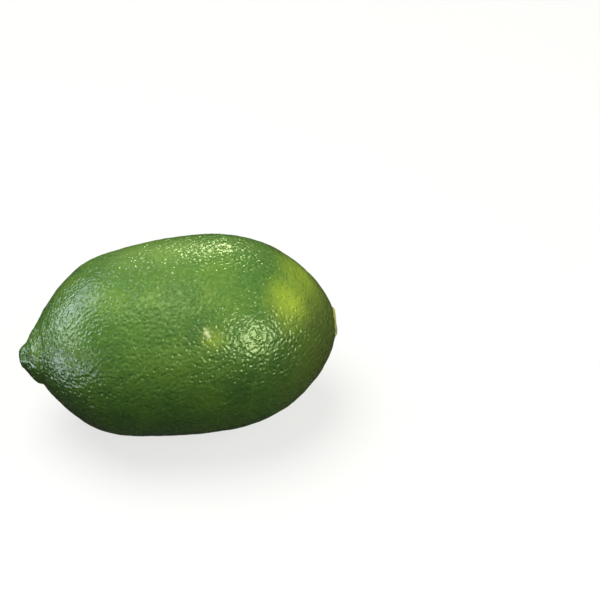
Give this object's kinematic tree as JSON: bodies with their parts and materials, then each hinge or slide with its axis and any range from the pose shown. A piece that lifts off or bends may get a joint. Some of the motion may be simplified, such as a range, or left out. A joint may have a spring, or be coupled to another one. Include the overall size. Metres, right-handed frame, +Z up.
{
  "type": "lime",
  "caption": "Whole lime lying on its side: a full green body with a blunt nipple at one end and a dry stem button at the other.",
  "frame": {"origin": "middle of the bounding box in X and Y, on the surface that the lime rests on", "axes": "+Z up, -X towards the nipple at the blossom end, +X towards the stem button, the camera side is -Y"},
  "size_m": [0.0736, 0.046, 0.0456],
  "materials": {
    "peel": "waxy green peel, satin to glossy, dimpled by oil glands, yellow-green near the stem",
    "dry_calyx": "dry, matte, mustard yellow-green plant tissue"
  },
  "bodies": {
    "root": {"lime_fruit": "peel", "stem_button": "dry_calyx"}
  },
  "joints": []
}
